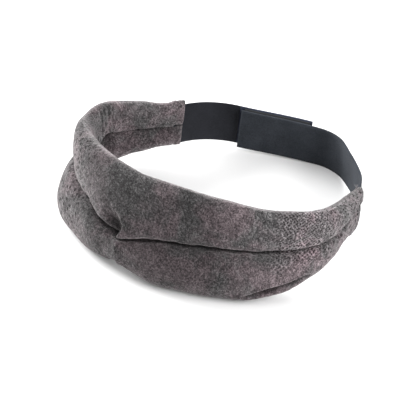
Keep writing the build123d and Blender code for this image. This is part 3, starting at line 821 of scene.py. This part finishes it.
def strip(name, points, outs, rise, lean, mat, width=STRAP_WIDTH, thick=STRAP_THICK, offset=0.0):
    """Flat tape along plan points, lifted by rise and with its lower edge swung outward by lean."""
    half, deep = width / 2, thick / 2
    across = np.linspace(-FLAT_SHARE, FLAT_SHARE, ACROSS)
    ring = [(deep, half * t) for t in across] + [(deep * 0.4, half)] + [
        (-deep, half * t) for t in across[::-1]] + [(-deep * 0.4, -half)]
    ring = np.array(ring) + (offset, 0)
    columns, uvs = [], []
    run = np.r_[0, np.cumsum(np.linalg.norm(np.diff(points, axis=0), axis=1))]
    for p, o, up, tip, u in zip(points, outs, rise, lean, run):
        c, s = math.cos(tip), math.sin(tip)
        out = ring[:, 0] * c - ring[:, 1] * s
        height = ring[:, 0] * s + ring[:, 1] * c + up
        columns.append(np.c_[p + out[:, None] * o, height])
        uvs += [(u, h) for h in ring[:, 1]]
    co = np.concatenate(columns)
    rows = len(ring)
    faces = grid_faces(len(points), rows)
    faces.append(tuple(range(rows)))
    faces.append(tuple(reversed([(len(points) - 1) * rows + j for j in range(rows)])))
    world = to_world(co)
    world[:, 2] = np.maximum(world[:, 2], 0.0)
    obj = mesh_object(name, world, faces, uvs)
    obj.data.materials.append(mat)
    return obj


def lean_at(reach, rows):
    """Outward lean of the strap's lower edge, in radians, from rows of (distance, degrees)."""
    places, degrees = zip(*rows)
    return np.radians(np.interp(reach, places, degrees))


# outer strap, from inside the left end to the peel line
reach, points, outs = strap_path("left", -TUCKED_IN, PEEL_AT)
outer = strip("outer_strap_web", points, outs, np.zeros(len(reach)), lean_at(reach, OUTER_LEAN), WEB)
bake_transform(outer)
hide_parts("left_strap", "left_strap_anchor")

# closure tab, which peels off the inner strap, and the loop tape on its inner face
TAPE_WIDTH, TAPE_THICK, TAPE_MARGIN = STRAP_WIDTH - 2, 0.9, 2.0
TAPE_OFFSET = (STRAP_THICK + TAPE_THICK) / 2 - 0.02


def tab_shape(reach):
    """Rise and lean of the tab at those distances."""
    return TAB_RISE * smoothstep(PEEL_AT, OUTER_END, reach), lean_at(reach, TAB_LEAN)


reach, points, outs = strap_path("left", PEEL_AT, OUTER_END)
tab = strip("closure_tab_web", points, outs, *tab_shape(reach), WEB_TAB)
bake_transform(tab)
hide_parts("closure_tab")

reach, points, outs = strap_path("left", PEEL_AT + 2 * TAPE_MARGIN, OUTER_END - TAPE_MARGIN)
loops = strip("loop_tape_strip", points, outs, *tab_shape(reach), LOOPS, TAPE_WIDTH, TAPE_THICK, -TAPE_OFFSET)
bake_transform(loops)
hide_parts("loop_patch")


# inner strap, from inside the right end to its free end, and the hook tape on its outer face
def inner_shape(reach):
    """Rise and lean of the inner strap at those distances."""
    return -INNER_DROP * smoothstep(OVERLAP_AT, INNER_END, reach), lean_at(reach, INNER_LEAN)


reach, points, outs = strap_path("right", -TUCKED_IN, INNER_END)
inner = strip("inner_strap_web", points, outs, *inner_shape(reach), WEB_COOL)
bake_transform(inner)
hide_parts("right_strap", "right_strap_anchor")

reach, points, outs = strap_path("right", OVERLAP_AT + TAPE_MARGIN, INNER_END - TAPE_MARGIN)
hooks = strip("hook_tape_strip", points, outs, *inner_shape(reach), HOOKS,
              TAPE_WIDTH, TAPE_THICK, TAPE_OFFSET)
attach(hooks, "inner_strap")
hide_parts("hook_patch")


# ---------------------------------------------------------------- stitching and loose thread
STITCH_LONG, STITCH_GAP, THREAD_RADIUS = 2.6, 0.9, 0.32
# the box's sides, as distances from the end and turns, and about how long one turn is there
BOX_ENDS, BOX_TURNS, BOX_TURN_LONG = (3.6, 11.4), (0.24, 1.74), 21
# how high a stitch stands above the skin along its share of the run
STITCH_ARCH = ((0.0, -0.3), (0.12, 0.2), (0.4, 0.36), (0.7, 0.2), (0.82, -0.3))
# the cut ends: where they start, how thick they are, and which way each leans
TUFT_AT, TUFT_RADIUS = (HALF_LENGTH - 2.0, 3.9), 0.14
TUFT_LEANS = ((-1.8, 1.0), (-0.6, 1.9), (-2.6, -0.4), (0.5, 0.9))


def skin_at(s, turn):
    """Point of the skin at that distance and turn, in ring-plane millimetres, and which way is out."""
    column = float(np.interp(s, s_of, np.arange(n_columns)))
    row = float(np.interp(turn, turn_of(FINE_ROWS), np.arange(n_rows)))
    i, j = min(int(column), n_columns - 2), min(int(row), n_rows - 2)
    u, v = column - i, row - j
    a, b, c, d = grid[i, j], grid[i + 1, j], grid[i, j + 1], grid[i + 1, j + 1]
    normal = np.cross(c - a, b - a)
    point = a * (1 - u) * (1 - v) + b * u * (1 - v) + c * (1 - u) * v + d * u * v
    return point, normal / np.linalg.norm(normal)


def thread(points, radius, sides=6):
    """Vertices and faces of a round thread through the points, thinner at its two ends."""
    points = np.asarray(points, float)
    ahead = np.gradient(points, axis=0)
    ahead /= np.linalg.norm(ahead, axis=1, keepdims=True)
    first = np.cross(ahead, (0.31, 0.17, 0.94))
    first /= np.linalg.norm(first, axis=1, keepdims=True)
    second = np.cross(ahead, first)
    size = radius * np.r_[0.35, np.ones(len(points) - 2), 0.35]
    angles = 2 * math.pi * np.arange(sides) / sides
    co = (points[:, None] + size[:, None, None] * (np.cos(angles)[None, :, None] * first[:, None]
                                                   + np.sin(angles)[None, :, None] * second[:, None]))
    faces = grid_faces(len(points), sides)
    faces.append(tuple(range(sides)))
    faces.append(tuple(reversed(range((len(points) - 1) * sides, len(points) * sides))))
    return co.reshape(-1, 3), faces


def threads_object(name, runs, radius):
    """One object of all the threads that run through those lists of points."""
    vertices, faces = [], []
    for run in runs:
        co, made = thread(run, radius)
        faces += [tuple(v + len(vertices) for v in face) for face in made]
        vertices += list(to_world(co))
    obj = mesh_object(name, vertices, faces)
    obj.data.materials.append(THREAD)
    return obj


def box_stitches(side):
    """Stitches of the box that holds the strap in the bound end, lying in the pile of its outer face."""
    sign = 1 if side == "right" else -1
    near, far = (sign * (HALF_LENGTH - d) for d in BOX_ENDS)
    corners = ((near, BOX_TURNS[0]), (near, BOX_TURNS[1]), (far, BOX_TURNS[1]), (far, BOX_TURNS[0]))
    runs = []
    for (s0, t0), (s1, t1) in zip(corners, corners[1:] + corners[:1]):
        long = abs(s1 - s0) + abs(t1 - t0) * BOX_TURN_LONG
        count = max(1, round(long / (STITCH_LONG + STITCH_GAP)))
        for k in range(count):
            run = []
            for part, above in STITCH_ARCH:
                share = (k + part) / count
                point, out = skin_at(s0 + (s1 - s0) * share, t0 + (t1 - t0) * share)
                run.append(point + out * above)
            runs.append(run)
    return threads_object(f"{side}_stitch_box", runs, THREAD_RADIUS)


for side in ("left", "right"):
    stitches = box_stitches(side)
    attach(stitches, f"mask_{side}")
    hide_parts(f"{side}_box_stitch")

# cut thread ends standing at the top corner of the right end
root, _ = skin_at(*TUFT_AT)
ends = [[root + np.array((lean_x * t, lean_y * t, 4.2 * t - 1.6 * t * t)) for t in np.linspace(-0.1, 1, 7)]
        for lean_x, lean_y in TUFT_LEANS]
tuft = threads_object("cut_thread_ends", ends, TUFT_RADIUS)
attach(tuft, "mask_right")

# ---------------------------------------------------------------- carried-over nodes
FINISH = {
    "shell": plain_material("shell_plastic", (0.13, 0.13, 0.14), 0.55),
    "motor_can": plain_material("motor_steel", (0.62, 0.63, 0.65), 0.3, 1.0, 1500),
    "steel": plain_material("ground_steel", (0.7, 0.7, 0.72), 0.25, 1.0, 2000),
    "weight_metal": plain_material("heavy_metal", (0.45, 0.45, 0.47), 0.4, 1.0, 1200),
    "lead_rubber": plain_material("lead_sheath", (0.05, 0.05, 0.05), 0.6),
    "cell_wrap": plain_material("cell_sleeve", (0.55, 0.58, 0.62), 0.35),
    "board": plain_material("board_mask", (0.04, 0.22, 0.11), 0.4),
    "switch": plain_material("switch_body", (0.08, 0.08, 0.08), 0.5),
    "button": plain_material("button_silicone", (0.2, 0.2, 0.21), 0.7),
    "thread": THREAD,
    "hook_tape": HOOKS,
    "loop_tape": LOOPS,
    "webbing": WEB,
    "webbing_blue": WEB_COOL,
    "plush": PLUSH,
    "plush_seam": PLUSH,
    "foam": plain_material("foam_cells", (0.78, 0.76, 0.70), 0.95, 0.0, 1200, 0.0008),
}
slots = {part["node"]: part["material_slot"] for part in frame["record"]["subparts"]}
for name, node in frame["nodes"].items():
    node.data.materials.clear()
    node.data.materials.append(FINISH[slots[name]])

# ---------------------------------------------------------------- floor, light and camera
FLOOR_TONE, FLOOR_REACH = 0.78, 6.0
SKY_STRENGTH = 0.75
# place and size in metres, and watts
LIGHTS = {
    "key": ((-1.4, -0.1, 0.65), 0.9, 60),
    "fill": ((1.35, 0.3, 0.80), 1.0, 30),
    "top": ((0.0, 0.2, 1.9), 1.6, 9),
}
LIGHT_TARGET = Vector((0, 0, 0.03))
AZIMUTH, ELEVATION, DISTANCE = math.radians(42.1), math.radians(41.4), 1.0
TARGET = Vector((0.0302, -0.0460, 0.0506))
LENS, SENSOR = 112.5, 36

floor_mat, _, _, shader = material("pale_floor")
shader.inputs["Base Color"].default_value = (FLOOR_TONE,) * 3 + (1,)
shader.inputs["Roughness"].default_value = 0.9
corners = [(x * FLOOR_REACH, y * FLOOR_REACH, 0) for x, y in ((-1, -1), (1, -1), (1, 1), (-1, 1))]
floor = mesh_object("floor", corners, [(0, 1, 2, 3)], smooth=False)
floor.data.materials.append(floor_mat)

scene = bpy.context.scene
sky = bpy.data.worlds.new("studio")
sky.use_nodes = True
sky.node_tree.nodes["Background"].inputs["Color"].default_value = (1, 1, 1, 1)
sky.node_tree.nodes["Background"].inputs["Strength"].default_value = SKY_STRENGTH
scene.world = sky
scene.view_settings.view_transform = "Standard"

for name, (place, size, power) in LIGHTS.items():
    light_data = bpy.data.lights.new(name, "AREA")
    light_data.size = size
    light_data.energy = power
    light = bpy.data.objects.new(name, light_data)
    light.location = place
    light.rotation_euler = (LIGHT_TARGET - Vector(place)).to_track_quat("-Z", "Y").to_euler()
    scene.collection.objects.link(light)

level = math.cos(ELEVATION)
look = Vector((-math.sin(AZIMUTH) * level, math.cos(AZIMUTH) * level, -math.sin(ELEVATION)))
camera_data = bpy.data.cameras.new("camera")
camera_data.sensor_width = SENSOR
camera_data.lens = LENS
camera = bpy.data.objects.new("camera", camera_data)
camera.location = TARGET - look * DISTANCE
camera.rotation_euler = look.to_track_quat("-Z", "Y").to_euler()
scene.collection.objects.link(camera)
scene.camera = camera
